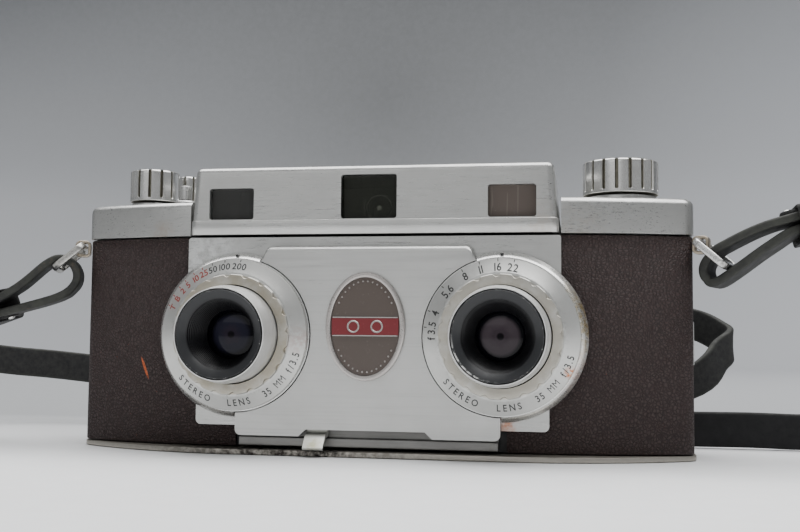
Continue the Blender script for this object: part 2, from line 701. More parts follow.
def strap_width_direction(place):
    """Across the strap: along the lug's axis at the rings, upright in between."""
    if place < TWIST_LEFT[1]:
        start, share = corner_frame(-1)[1], (place - TWIST_LEFT[0]) / (TWIST_LEFT[1] - TWIST_LEFT[0])
    else:
        start, share = corner_frame(1)[1], (TWIST_RIGHT[1] - place) / (TWIST_RIGHT[1] - TWIST_RIGHT[0])
    share = min(max(share, 0.0), 1.0)
    turn = share * share * (3 - 2 * share) * pi / 2
    return start * cos(turn) + UP * sin(turn)


def strap_section(width, thick):
    """A flat band with soft, slightly pillowed edges."""
    points = round_rectangle(-width / 2, width / 2, -thick / 2, thick / 2, min(0.75, thick * 0.35), 4)
    made = []
    for i, (u, v) in enumerate(points):
        made.append((u, v))
        u2, v2 = points[(i + 1) % len(points)]
        if abs(u2 - u) > width / 2:
            for k in range(1, 8):
                made.append((u + (u2 - u) * k / 8, v + (v2 - v) * k / 8))
    return made


def band_along(line, directions, section, name, finish):
    """Sweep a section along a line and keep how far along and across each point lies."""
    rings, marks, run = [], [], 0.0
    for i, point in enumerate(line):
        ahead = (line[min(i + 1, len(line) - 1)] - line[max(i - 1, 0)]).normalized()
        wide = directions[i]
        wide = (wide - ahead * wide.dot(ahead)).normalized()
        thin = ahead.cross(wide)
        if i:
            run += (point - line[i - 1]).length
        rings.append([tuple(point + wide * u + thin * v) for u, v in section])
        marks += [(run, u) for u, v in section]
    piece = make_piece(name, *loft(rings), finish, sharp=50)
    along = piece.data.attributes.new("along", "FLOAT", "POINT")
    across = piece.data.attributes.new("across", "FLOAT", "POINT")
    along.data.foreach_set("value", [m[0] for m in marks])
    across.data.foreach_set("value", [m[1] for m in marks])
    return piece


def strap_leather():
    """Black bridle leather: pale worn edges, fine creases across, rubbed tan patches."""
    made = Finish("strap_leather", (0.016, 0.016, 0.016), 0.6, 0.0, Specular_IOR_Level=0.28)
    along = made.node("ShaderNodeAttribute", {"attribute_name": "along"}).outputs["Fac"]
    across = made.node("ShaderNodeAttribute", {"attribute_name": "across"}).outputs["Fac"]
    rim = made.fit(made.maths("ABSOLUTE", across), STRAP_WIDTH / 2 - 1.0, STRAP_WIDTH / 2 - 0.3)
    patchy = made.fit(made.noise(3.5, 4.0, 0.65), 0.40, 0.62)
    tone = made.mixed(made.fit(made.noise(1.4, 4.0, 0.6), 0.3, 0.75), (0.014, 0.014, 0.015),
                      (0.034, 0.034, 0.032))
    tone = made.mixed(made.times(rim, made.fit(patchy, 0, 1, 0.25, 0.8)), tone, (0.048, 0.050, 0.042))
    rubbed = made.fit(made.noise(4.0, 5.0, 0.7, shift=(3, 3, 3)), 0.60, 0.70)
    near_ring = made.fit(along, 70.0, 35.0)
    tone = made.mixed(made.times(rubbed, made.times(near_ring, 0.6)), tone, (0.17, 0.12, 0.08))
    tone = made.mixed(made.fit(made.axis("Z"), 16.0, 9.0, 0.0, 0.8), tone, (0.006, 0.006, 0.007))
    turned_up = made.times(made.near((140.0, 0.0, 38.0), 34.0, 0.5), made.fit(patchy, 0, 1, 0.4, 0.8))
    tone = made.mixed(turned_up, tone, (0.065, 0.067, 0.060))
    made.paint(tone)
    made.shine(made.fit(made.noise(2.5, 3.0, 0.6, shift=(1, 4, 2)), 0.3, 0.7, 0.55, 0.75))
    made.raise_by(made.noise(0.8, 3.0, 0.6, warp=0.4), 0.06)
    made.raise_by(made.noise(0.22, 2.0, 0.5), 0.02)
    return made.material


def neck_strap(leather):
    line, places = smooth_route(STRAP_ROUTE, 10)
    directions = [strap_width_direction(place) for place in places]
    section = strap_section(STRAP_WIDTH, STRAP_THICKNESS)
    return band_along(line, directions, section, "strap_of_leather", leather), line


def closed_band(centre_line, normals, across, thick, wide, name, finish, soft=0.3):
    """A closed strip: a soft-cornered section carried round a loop of stations."""
    section = round_rectangle(-thick / 2, thick / 2, -wide / 2, wide / 2, soft, 3)
    rings = [[tuple(p + n * a + across * b) for a, b in section] for p, n in zip(centre_line, normals)]
    return make_piece(name, *loft(rings, looped=True), finish, sharp=50)


KEEPER_LEFT = ((-107.2, -10.7, 39.2), (-117.6, -8.5, 36.1))
KEEPER_RIGHT = ((107.4, -11.9, 59.3), (118.6, -11.6, 61.4))


def stitch(centre, ahead, over, across, length=1.5, thick=0.22):
    """One stitch of thread: a little bead drawn into the leather at both ends."""
    rings = []
    for i in range(7):
        t = i / 6 * 2 - 1
        size = thick * sqrt(max(1 - t * t, 0.04))
        sunk = centre + ahead * (t * length / 2) - over * (0.25 * t * t)
        rings.append([tuple(sunk + over * (size * cos(tau * k / 8)) + across * (size * sin(tau * k / 8)))
                      for k in range(8)])
    return loft(rings)


def tongue(start, ahead, across, over, length, width, thick):
    """A flat tab with a round end, lying along the strap."""
    outline = [(0.0, -width / 2), (length - width / 2, -width / 2)]
    outline += [(length - width / 2 + width / 2 * sin(radians(a)), -width / 2 * cos(radians(a)))
                for a in range(10, 171, 10)]
    outline += [(length - width / 2, width / 2), (0.0, width / 2)]
    rings = []
    for lift, pull in ((-0.5, 0.25), (-0.28, 0.0), (0.28, 0.0), (0.5, 0.25)):
        ring = []
        for u, v in outline:
            forward = u - (pull if u > 0.1 else 0.0)
            sideways = v * (1 - pull / width * 2)
            ring.append(tuple(start + ahead * forward + across * sideways + over * (lift * thick)))
        rings.append(ring)
    return loft(rings)


def keeper(side, label, first, last, leather, thread, stud_finish):
    """A stitched leather sleeve round the doubled strap, its tab's round end and a stud."""
    start, end = Vector(first), Vector(last)
    ahead = (end - start).normalized()
    across = corner_frame(side)[1]
    across = (across - ahead * across.dot(ahead)).normalized()
    over = ahead.cross(across)
    if over.z < 0:
        over = -over
    inner, outer, lip = (6.1, 3.7), (7.0, 4.6), 0.5
    length = (end - start).length
    lips = [(lip, inner)] + [(run, (outer[0] - shrink, outer[1] - shrink))
                             for run, shrink in ((0.12, 0.55), (0.0, 0.3), (0.08, 0.08), (0.35, 0.0))]
    lips += [(length - run, size) for run, size in reversed(lips)]
    stations = []
    for run, (half_wide, half_thick) in lips:
        outline = round_rectangle(-half_wide, half_wide, -half_thick, half_thick, 1.2, 6)
        stations.append([tuple(start + ahead * run + across * u + over * v) for u, v in outline])
    sleeve = add(f"{label}_keeper_sleeve", loft(stations, looped=True), leather, "body",
                 "black_strap_leather", f"{label}_strap_keeper", sharp=50)
    stitches = []
    for k in range(5):
        place = start + ahead * (length * (0.14 + 0.18 * k))
        for across_by in (-5.4, 5.4):
            stitches.append(stitch(place + over * 4.66 + across * across_by, ahead, over, across))
    seam = add(f"{label}_keeper_stitches", joined(*stitches), thread, "body", "black_strap_leather", sharp=60)
    base = start + ahead * 1.5 + over * (3.0 * side)
    shape = tongue(base, -ahead, across, over, 4.6 if side > 0 else 4.4, 7.5, 2.0)
    tab = add(f"{label}_tab_end", shape, leather, "body", "black_strap_leather", sharp=50)
    profile = [(0.01, 0.9), (0.5, 0.85), (0.85, 0.65), (1.0, 0.35), (1.0, -0.4)]
    stud_place = base - ahead * 2.6 + over * (1.0 * side)
    rings = []
    for radius, lift in profile:
        circle = [(radius * cos(tau * k / 24), radius * sin(tau * k / 24)) for k in range(24)]
        rings.append([tuple(stud_place + ahead * u + across * v + over * (lift * 0.6 * side)) for u,
                      v in circle])
    stud = add(f"{label}_tab_stud", loft(rings), stud_finish, "body", "chrome", sharp=50)
    return sleeve, seam, tab, stud


# Body, covers and skins

def leather_skins(finish):
    """The front leathers and the back leather, their edges turned over softly."""
    levels = ((BODY_BOTTOM, 0.28), (BODY_BOTTOM + 0.1, 0.1), (BODY_BOTTOM + 0.3, 0.0),
              (BODY_TOP - 0.3, 0.0), (BODY_TOP - 0.1, 0.1), (BODY_TOP, 0.28))
    hidden_start = LENS_X + 1.0
    for side, label, lens in both_sides():
        def strip(inset):
            outer = front_run(LEATHER_PLAN, inset, hidden_start)
            outer.append((LEATHER_PLAN.half_width - inset, SEAM_Y))
            inner = front_run(LEATHER_PLAN, LEATHER, hidden_start)
            inner.append((LEATHER_PLAN.half_width - LEATHER, SEAM_Y))
            return [(side * x, y) for x, y in outer + inner[::-1]]

        piece = make_piece(f"{label}_front_leather", *upright_stack(strip, levels), finish)
        cut_out(piece, turned([(10.0, 0.0), (10.0, 8.0)], (lens.x, -10.0, lens.z), "Y", 48, looped=False))
        smooth_from(piece.data, 40)
        settle(piece, "body", "brown_leatherette", f"{label}_leather")

    start_y = box_mm("back_leather")[0].y

    def wrap(inset):
        outer = [(LEATHER_PLAN.half_width - inset, start_y)] + back_run(LEATHER_PLAN, inset)[1:]
        inner = [(LEATHER_PLAN.half_width - LEATHER, start_y)] + back_run(LEATHER_PLAN, LEATHER)[1:]
        outer += [(-x, y) for x, y in outer[-2::-1]]
        inner += [(-x, y) for x, y in inner[-2::-1]]
        return outer + inner[::-1]

    add("wrapped_back_leather", upright_stack(wrap, levels), finish, "body", "brown_leatherette",
        "back_leather")


def base_and_bush(plate_finish, brass_finish):
    levels = ((0.0, 0.55), (0.10, 0.22), (0.32, 0.0), (BASE_TOP - 0.32, 0.0), (BASE_TOP - 0.10, 0.10),
              (BASE_TOP, 0.34))
    shape = upright_stack(lambda inset: whole_plan(BASE_PLAN, inset), levels)
    piece = make_piece("bottom_plate", *shape, plate_finish)
    bush_x, bush_y = middle("tripod_bush")
    cut_out(piece, turned([(5.3, -1.0), (5.3, 3.0)], (bush_x, bush_y, 0.0), "Z", 72, looped=False))
    smooth_from(piece.data, 35)
    settle(piece, "body", "satin_aluminium", "base_plate")
    top = box_mm("tripod_bush")[1].z
    thread = [(3.2 + (0.35 if k % 2 else 0.0), top - 0.15 - k * 0.33) for k in range(1, 20)]
    profile = [(3.6, 0.05), (4.75, 0.05), (5.0, 0.25), (5.0, BASE_TOP), (4.3, BASE_TOP), (4.3, top),
               (3.3, top)]
    add("threaded_bush", turned(profile + thread, (bush_x, bush_y, 0.0), "Z", 72), brass_finish,
        "body", "brass", "tripod_bush")


CROWN = tuple((2.1 * (1 - cos(radians(a))), -2.1 + 2.1 * sin(radians(a))) for a in range(0, 91, 10))


CAP_HOLES = {-1: ((ADVANCE_AXIS, 2.1), (FOCUS_AXIS, 1.4), (RELEASE_AXIS, 2.1)), 1: ((REWIND_AXIS, 2.1),)}


def top_caps(finish):
    """The lower ends of the top cover, their upper edges rolled over."""
    for side, label, _ in both_sides():
        levels = [(CAP_BOTTOM, 0.12), (CAP_BOTTOM + 0.12, 0.0)]
        levels += [(CAP_TOP + drop * 0.92, inset) for inset, drop in CROWN]
        shape = upright_stack(lambda inset: end_plan(CAP_PLAN, inset, CAP_START, side), levels)
        piece = make_piece(f"{label}_cap_shell", *shape, finish)
        inner = end_plan(CAP_PLAN, 1.3, CAP_START + 1.3, side)
        holes = CAP_HOLES[side]
        tools = [loft([[(x, y, z) for x, y in inner] for z in (CAP_BOTTOM - 2, CAP_TOP - 1.3)])]
        tools += [turned([(r, 62.0), (r, 70.0)], (*axis, 0.0), "Z", 36, looped=False) for axis, r in holes]
        cut_out(piece, *tools)
        smooth_from(piece.data, 30)
        settle(piece, "body", "satin_aluminium", f"{label}_top_cap")


WINDOWS = ("left_rangefinder_window", "viewfinder_window", "right_rangefinder_window")
PANE_LAP = 0.7          # how far each pane reaches past its opening
HOUSING_FRONT, HOUSING_BACK = box_mm("finder_housing")[0].y, box_mm("finder_housing")[1].y


def housing_outline(inset, pull):
    half = HOUSING_HALF - inset - pull
    radius = 2.2 - min(inset, 1.4)
    return round_rectangle(-half, half, HOUSING_FRONT + inset, HOUSING_BACK - inset, radius, 10)


def finder_housing(finish, inside):
    """The raised finder housing: a skirt, a ledge, and a softly crowned top."""
    levels = [(CAP_BOTTOM, 0.12, 0.0), (CAP_BOTTOM + 0.12, 0.0, 0.0), (61.50, 0.0, 0.08), (61.66, 0.05, 0.1),
              (61.74, 0.18, 0.1), (61.80, 0.35, 0.1)]
    for inset, drop in CROWN:
        levels.append((HOUSING_TOP + drop * 0.75, 0.35 + inset * 0.85, 0.9))
    rings = [[(x, y, z) for x, y in housing_outline(inset, pull)] for z, inset, pull in levels]
    piece = make_piece("raised_housing", *loft(rings), finish)
    hollow = ((CAP_BOTTOM - 2, 0.0), (HOUSING_TOP - 1.3, 0.8))
    inner = [[(x, y, z) for x, y in housing_outline(1.7, pull)] for z, pull in hollow]
    openings = []
    for low, high in map(box_mm, WINDOWS):
        sides = (low.x + PANE_LAP, high.x - PANE_LAP, low.z + PANE_LAP, high.z - PANE_LAP)
        openings.append(facing(round_rectangle(*sides, 0.7, 5), -20.0, -15.0))
    backs = []
    for name in EYEPIECES:
        low, high = box_mm(name)
        radius = (high.x - low.x) / 2 + 0.3
        place = ((low.x + high.x) / 2, 22.0, EYEPIECE_Z)
        backs.append(turned([(radius, 0.0), (radius, 8.0)], place, "Y", 60, looped=False))
    cut_out(piece, loft(inner), *openings, *backs)
    softened(piece, 0.16, 50, 2)
    piece.data.materials.clear()
    piece.data.materials.append(finish)
    piece.data.materials.append(inside)
    for face in piece.data.polygons:
        x, y, z = face.center / MM
        walled = HOUSING_FRONT + 1.15 < y < HOUSING_BACK - 1.15 and abs(x) < HOUSING_HALF - 1.9
        face.material_index = 1 if walled and z < HOUSING_TOP - 1.2 else 0
    settle(piece, "body", "satin_aluminium", "finder_housing")


def eyepieces(enamel):
    for name in EYEPIECES:
        low, high = box_mm(name)
        radius, x = (high.x - low.x) / 2, (high.x + low.x) / 2
        back, front = high.y, low.y
        profile = [(radius, back - 0.2), (radius - 0.2, back), (radius - 0.7, back),
                   (radius - 1.0, back - 0.4),
                   (radius - 1.0, front + 1.2), (0.8, front + 1.0), (0.8, front), (radius, front)]
        stations = [(r, -y) for r, y in profile]
        add(f"{name}_ring", turned(stations, (x, 0.0, EYEPIECE_Z), "Y", 72), enamel, "body", "black_paint",
            name)


def window_panes(finishes):
    for name, finish in zip(WINDOWS, finishes):
        low, high = box_mm(name)
        outline = round_rectangle(low.x, high.x, low.z, high.z, 0.8, 5)
        piece = make_piece(f"{name}_pane", *facing(outline, low.y, high.y), finish)
        softened(piece, 0.12, 50, 2)
        settle(piece, "body", "coated_glass", name)


# Front: panel, cover plate, badge, sill, cocking slide

def lens_panel(finish):
    low, high = box_mm("lens_panel")
    half, lower, top, bottom = high.x, 46.8, high.z, low.z
    right = [(0.0, bottom)] + arc(lower - 1.4, bottom + 1.4, 1.4, -90, 0, 10)
    right += [(lower, LENS_Z - 4.0), (half, LENS_Z + 4.0)]
    right += arc(half - 0.8, top - 0.8, 0.8, 0, 90, 8) + [(0.0, top)]
    piece = make_piece("flat_lens_panel", *facing(mirrored(right), low.y, high.y), finish)
    cut_out(piece, *[turned([(13.5, 12.0), (13.5, 24.0)], (lens.x, 0.0, lens.z), "Y", 96, looped=False)
                     for _, _, lens in both_sides()])
    softened(piece, 0.32, 40, 3)
    settle(piece, "body", "satin_aluminium", "lens_panel")


def cover_outline(pull_top, clear):
    """The front cover plate, notched round the dials and over the cocking slide."""
    radius = 20.4 - clear
    top, side, low = 54.7 - pull_top + clear, 27.6 + clear, 34.7 + clear
    bottom = 5.1 - clear
    notch_top = 6.9 if clear == 0 else bottom
    enter = degrees(acos((side + 0.9 - LENS_X) / radius))
    leave = 360 - degrees(acos((low - LENS_X) / radius))
    right = [(0.0, notch_top), (15.6, notch_top), (17.5, bottom)]
    right += arc(low - 1.5, bottom + 1.5, 1.5, -90, 0, 8)
    right += arc(LENS_X, LENS_Z, radius, leave, enter, 90)
    right += arc(side - 2.0, top - 2.0, 2.0, 10, 90, 12) + [(0.0, top)]
    return mirrored(right)


def front_cover_plate(finish):
    roll = [(COVER_Y + 1.9 * (1 - cos(radians(a))), 1.75 * (1 - sin(radians(a)))) for a in range(0, 91, 10)]
    rings = [[(x, y, z) for x, z in cover_outline(pull, 0.0)] for y, pull in roll + [(COVER_BACK, 0.0)]]
    piece = make_piece("brushed_cover_plate", *loft(rings), finish)
    cut_out(piece, box(-21.0, 21.0, COVER_BACK - 1.9, COVER_BACK + 2, 4.0, 12.4))
    softened(piece, 0.14, 30, 2)
    settle(piece, "body", "satin_aluminium", "front_cover_plate")


BAND_HALF = 2.2


def maker_badge(rim_finish, field_finish, band_finish):
    """A plain oval badge: a rim, a sunk dark field, a red band and two rings for the two lenses."""
    low, high = box_mm("badge")
    x, z = (low.x + high.x) / 2, (low.z + high.z) / 2
    wide, tall = (high.x - low.x) / 2, (high.z - low.z) / 2
    front, back = low.y, high.y

    def oval(shrink, y, count=96):
        return [(x + (wide - shrink) * cos(tau * k / count), y, z + (tall - shrink) * sin(tau * k / count))
                for k in range(count)]

    rim = [oval(0.0, back), oval(0.0, front + 0.35), oval(0.10, front + 0.12), oval(0.35, front),
           oval(0.95, front),
           oval(1.25, front + 0.12), oval(1.30, front + 0.5), oval(1.30, back - 0.2), oval(0.5, back)]
    add("badge_rim", loft(rim, looped=True), rim_finish, "body", "nickel_badge", "badge")
    field = loft([oval(1.35, front + 0.62), oval(1.35, back - 0.1)])
    add("badge_field", field, field_finish, "body", "nickel_badge")
    reach = wide - 1.6
    band = []
    for y in (front + 0.28, front + 0.6):
        upper = [(x + reach * (k / 20 * 2 - 1), y, z + BAND_HALF) for k in range(21)]
        lower = [(x + reach * (1 - k / 20 * 2), y, z - BAND_HALF) for k in range(21)]
        band.append(upper + lower)
    red = make_piece("badge_band", *loft(band), band_finish)
    softened(red, 0.1, 40, 2)
    settle(red, "body", "nickel_badge")
    rings = []
    for shift in (-3.1, 3.1):
        profile = [(1.65, -0.2), (1.65, 0.10), (1.55, 0.2), (1.30, 0.2), (1.20, 0.10), (1.20, -0.2)]
        rings.append(turned(profile, (x + shift, front + 0.34, z), "Y", 64))
    for edge in (z + BAND_HALF + 0.15, z - BAND_HALF - 0.15):
        rings.append(box(x - reach + 0.3, x + reach - 0.3, front + 0.2, front + 0.6, edge - 0.14,
                         edge + 0.14))
    bead, dome = [], [(0.01, 0.24), (0.16, 0.2), (0.24, 0.1), (0.28, -0.05)]
    for k in range(40):
        angle = tau * (k + 0.5) / 40
        if abs(sin(angle)) > 0.42:
            px, pz = x + (wide - 2.3) * cos(angle), z + (tall - 2.3) * sin(angle)
            bead.append(turned(dome, (px, front + 0.6, pz), "Y", 12, looped=False))
    add("badge_trim", joined(*rings, *bead), rim_finish, "body", "nickel_badge")


def cover_sill(finish):
    """The bright lip under the cover plate, softly rounded along its edges and ends."""
    low, high = box_mm("cover_sill")
    lip_top = 4.7
    section = [(low.y, low.z), (high.y, low.z), (high.y, high.z), (high.y - 1.0, high.z),
               (high.y - 1.0, lip_top),
               (low.y, lip_top)]
    section = filleted(section, (0.3, 0.15, 0.15, 0.3, 0.2, 0.35), 4)
    ends = ((low.x, 0.25), (low.x + 0.08, 0.1), (low.x + 0.25, 0.0), (high.x - 0.25, 0.0),
            (high.x - 0.08, 0.1),
            (high.x, 0.25))
    mid_y, mid_z = (low.y + high.y) / 2, (low.z + lip_top) / 2
    rings = []
    for x, pull in ends:
        rings.append([(x, y + (mid_y - y) * pull * 0.12, z + (mid_z - z) * pull * 0.2) for y, z in section])
    add("lower_sill", loft(rings), finish, "body", "satin_aluminium", "cover_sill")


def cocking_slide(finish):
    """The carriage behind the plate and the bent tab that a finger pushes."""
    low, high = box_mm("cocking_slide")
    x, half = (low.x + high.x) / 2, (high.x - low.x) / 2
    section = [(3.95, 11.6), (3.95, 5.1), (0.9, 4.8), (-1.9, 1.9), (-2.6, 2.5), (0.4, 5.6), (2.75, 6.0),
               (2.75, 11.6)]
    section = filleted([(DIAL_Y + y, z) for y, z in section], (0.1, 0.9, 1.2, 0.25, 0.25, 1.2, 0.9, 0.1), 6)
    rings = [[(x + shift, y, z) for y, z in section] for shift in (-half, half)]
    piece = make_piece("bent_cocking_tab", *loft(rings), finish)
    cut_out(piece, *[facing([(x + s * half, 1.0), (x + s * (half + 1), 1.0), (x + s * (half + 1), 3.6)],
                            DIAL_Y - 4, DIAL_Y + 0.2) for s in (-1, 1)])
    softened(piece, 0.16, 45, 2)
    settle(piece, "cocking_slide", "satin_aluminium", "cocking_slide")


# Lenses and their dials

def shutter_flanges(finish, mark_finish):
    """Fixed collars with a bright sloped shoulder and an index mark on top."""
    profile = [(13.7, -4.3), (21.7, -4.3), (21.7, -3.2), (20.7, -1.6), (20.1, -1.0), (13.7, -1.0)]
    profile = filleted(profile, (0.0, 0.0, 0.25, 0.3, 0.12, 0.0), 4)
    for _, label, lens in both_sides():
        centre = (lens.x, DIAL_Y, lens.z)
        piece = make_piece(f"{label}_collar", *turned(profile, centre, "Y", 192), finish)
        cut_out(piece, facing(cover_outline(0.0, 0.3), COVER_Y - 3, COVER_BACK + 3))
        smooth_from(piece.data, 32)
        settle(piece, "body", "satin_aluminium", f"{label}_shutter_flange")
        corners = ((-0.48, 21.1), (0.0, 20.35), (0.48, 21.1))
        mark = [[(lens.x + u, y, lens.z + v) for u, v in corners] for y in (DIAL_Y + 1.05, DIAL_Y + 3.4)]
        add(f"{label}_index_mark", loft(mark), mark_finish, "body", "black_paint")


SCALLOPS, SCALLOP_DEPTH, SCALLOP_SHARE = 20, 0.65, 0.42


def scallop(angle, radius, station):
    """Hollows round the raised step of a dial."""
    if radius < 15.2 or not 2.4 < station < 3.5:
        return 0.0
    phase = (angle * SCALLOPS / tau) % 1.0
    return SCALLOP_DEPTH * sin(pi * (phase / SCALLOP_SHARE)) if phase < SCALLOP_SHARE else 0.0


def dial_surface(radius):
    """How far forward the sloped face of a dial stands at a radius."""
    return 0.5 + (DIAL_RADIUS - radius) / (DIAL_RADIUS - 16.1) * 1.8


def dial_frame(centre, angle, radius, tops_out):
    """A place on the sloped face, with its right, up and outward directions."""
    a = radians(angle)
    slope = Vector((3.7 * cos(a), 1.8, 3.7 * sin(a))).normalized()
    right = Vector((sin(a), 0.0, -cos(a)))
    place = Vector((centre[0] + radius * cos(a), centre[1] - dial_surface(radius),
                    centre[2] + radius * sin(a)))
    out = right.cross(slope)
    if tops_out:
        return place, right, slope, out
    return place, -right, -slope, out


GLYPHS = {}
LETTER_WEIGHT = 0.015


def glyph(letter):
    """A letter's mesh, one unit high, centred on its own width and height."""
    if letter not in GLYPHS:
        curve = bpy.data.curves.new("letter", "FONT")
        curve.body, curve.size, curve.extrude, curve.resolution_u = letter, 1.0, 0.012, 3
        curve.offset = 0.0 if letter == "M" else LETTER_WEIGHT
        holder = bpy.data.objects.new("letter", curve)
        bpy.context.scene.collection.objects.link(holder)
        bpy.context.view_layer.update()
        mesh = bpy.data.meshes.new_from_object(holder.evaluated_get(bpy.context.evaluated_depsgraph_get()))
        points = [tuple(v.co) for v in mesh.vertices]
        faces = [tuple(p.vertices) for p in mesh.polygons]
        x0, x1 = min(p[0] for p in points), max(p[0] for p in points)
        points = [((px - (x0 + x1) / 2) / 0.70, (py - 0.35) / 0.70, pz) for px, py, pz in points]
        GLYPHS[letter] = (points, faces, (x1 - x0) / 0.70)
        bpy.data.objects.remove(holder, do_unlink=True)
        bpy.data.meshes.remove(mesh)
    return GLYPHS[letter]


LETTER_GAP = 0.34


def lettering(word, centre, angle, radius, height, tops_out, spread=1.0, narrow=0.80):
    """Letters set along an arc of a dial's face, centred on an angle."""
    widths = [glyph(c)[2] * height * narrow if c != " " else height * 0.45 for c in word]
    whole = sum(widths) + LETTER_GAP * spread * (len(word) - 1)
    sense = -1.0 if tops_out else 1.0
    run, shapes = -whole / 2, []
    for letter, width in zip(word, widths):
        middle_run = run + width / 2
        run += width + LETTER_GAP * spread
        if letter == " ":
            continue
        turn = degrees(middle_run / radius) * sense
        place, right, up, out = dial_frame(centre, angle + turn, radius, tops_out)
        points, faces, _ = glyph(letter)
        made = [tuple(place + right * (px * height * narrow) + up * (py * height) + out * (pz + 0.012))
                for px, py, pz in points]
        shapes.append((made, faces))
    return shapes


def tick(centre, angle, inner, outer, width=0.24):
    """A short engraved line on a dial's sloped face."""
    place, right, up, out = dial_frame(centre, angle, inner, True)
    length = outer - inner
    corners = ((-width / 2, 0), (width / 2, 0), (width / 2, length), (-width / 2, length))
    return loft([[tuple(place + right * u + up * v + out * lift) for u, v in corners]
                 for lift in (-0.03, 0.014)])


RED_SPEEDS = ((156.9, "T"), (148.5, "B"), (140.6, "2"), (133.8, "5"), (125.0, "10"), (117.0, "25"))
BLACK_SPEEDS = ((108.3, "50"), (97.7, "100"), (84.8, "200"))
STOPS = ((-177.9, "f"), (173.4, "3.5"), (160.8, "4"), (140.0, "5.6"), (120.7, "8"), (106.6, "11"),
         (92.4, "16"),
         (80.0, "22"))


# Generic words on both dials: word, angle, radius, spread
WORDS = (("35 MM", -49.0, 17.75, 1.2), ("f/3.5", -23.5, 17.95, 1.4), ("STEREO", -125.0, 17.7, 1.9),
         ("LENS", -83.0, 17.7, 1.9))
WORD_HEIGHT = 1.9


def dials(finishes, ink, red_ink):
    """The shutter-speed and aperture rings, their numbers sunk and filled."""
    profile = [(13.9, -0.7), (DIAL_RADIUS, -0.7), (DIAL_RADIUS, 0.38), (DIAL_RADIUS - 0.1, 0.55),
               (16.25, 2.22),
               (16.0, 2.40), (15.75, 2.46), (15.68, 2.6), (15.62, 3.26), (15.5, 3.38), (15.3, 3.4),
               (13.55, 3.4),
               (12.95, 3.3), (12.95, 2.5), (13.9, 2.4)]
    for (side, _, lens), name, finish in zip(both_sides(), ("shutter_speed_ring", "aperture_ring"), finishes):
        centre = (lens.x, DIAL_Y, lens.z)
        shape = turned(profile, centre, "Y", SCALLOPS * 18, cut=scallop)
        add(f"{name}_dial", shape, finish, name, "satin_aluminium", name)
        black, red = [], []
        if side < 0:
            for marks, speeds in ((red, RED_SPEEDS), (black, BLACK_SPEEDS)):
                for angle, word in speeds:
                    marks += lettering(word, centre, angle, 17.85, 1.85, True, 0.55, 0.93)
                    marks.append(tick(centre, angle, 19.0, 19.74))
        else:
            for angle, word in STOPS:
                black += lettering(word, centre, angle, 17.5, 2.25, True, 0.9)
                if word != "f":
                    black.append(tick(centre, angle, 18.9, 19.72))
        for word, angle, radius, spread in WORDS:
            black += lettering(word, centre, angle, radius, WORD_HEIGHT, False, spread)
        add(f"{name}_numbers", joined(*black), ink, name, "black_paint", sharp=60)
        if red:
            add(f"{name}_red_numbers", joined(*red), red_ink, name, "black_paint", sharp=60)


def barrels(finishes, enamel):
    barrel = [(8.3, -2.8), (12.6, -2.8), (12.6, 7.3), (12.5, 7.75), (11.85, 12.1), (11.55, 12.1),
              (11.55, 2.6),
              (8.3, 2.6)]
    barrel = filleted(barrel, (0.0, 0.2, 0.25, 0.4, 0.12, 0.1, 0.0, 0.0), 5)
    tube = filleted([(7.2, -13.0), (9.2, -13.0), (9.2, -3.1), (7.2, -3.1)], 0.3, 3)
    for (_, label, lens), finish in zip(both_sides(), finishes):
        centre = (lens.x, DIAL_Y, lens.z)
        add(f"{label}_barrel_shell", turned(barrel, centre, "Y", 192), finish,
            f"{label}_lens", "satin_aluminium", f"{label}_lens_barrel")
        add(f"{label}_rear_cell", turned(tube, centre, "Y", 96), enamel,
            f"{label}_lens", "black_paint", f"{label}_rear_lens_tube")


def front_rings(finishes):
    """Black name rings: a shallow outer cone, then a ridged throat down to the glass."""
    throat = [(8.8, 10.6), (8.3, 9.2), (7.1, 5.4), (6.3, 2.9)]
    ridged = []
    for (r0, s0), (r1, s1) in zip(throat, throat[1:]):
        count = max(2, round((s0 - s1) / 0.62))
        for k in range(count):
            share, following = k / count, (k + 0.72) / count
            ridged.append((r0 + (r1 - r0) * share, s0 + (s1 - s0) * share))
            ridged.append((r0 + (r1 - r0) * share - 0.02, s0 + (s1 - s0) * following))
    profile = [(11.25, 2.9), (11.25, 12.12), (11.12, 12.28), (10.95, 12.22),
               (9.0, 10.78)] + ridged + [(6.3, 2.9)]
    for (_, label, lens), finish in zip(both_sides(), finishes):
        shape = turned(profile, (lens.x, DIAL_Y, lens.z), "Y", 160)
        add(f"{label}_name_ring", shape, finish, f"{label}_lens", "black_paint", f"{label}_front_lens_ring",
            sharp=28)


def domed(radius, edge, crown, steps=14):
    points = []
    for k in range(steps + 1):
        share = k / (steps + 0.02)
        points.append((radius * cos(share * pi / 2), edge + crown * sin(share * pi / 2)))
    return points


# End of the lens, radius, foot, edge, crown and segments round
GLASSES = (("front", 8.0, -2.0, 0.6, 1.7, 120), ("rear", 6.9, -6.0, -4.6, 0.9, 96))


def glasses(finishes):
    for (_, label, lens), finish in zip(both_sides(), finishes):
        for end, radius, foot, edge, crown, segments in GLASSES:
            profile = [(radius, foot)] + domed(radius, edge, crown)
            shape = turned(profile, (lens.x, DIAL_Y, lens.z), "Y", segments, looped=False)
            add(f"{label}_{end}_glass", shape, finish, f"{label}_lens", "coated_glass",
                f"{label}_{end}_element", sharp=50)


# Top controls

FLUTE_SHARE, FLUTE_RAMP = 0.26, 0.07    # shares of the pitch from one flute to the next


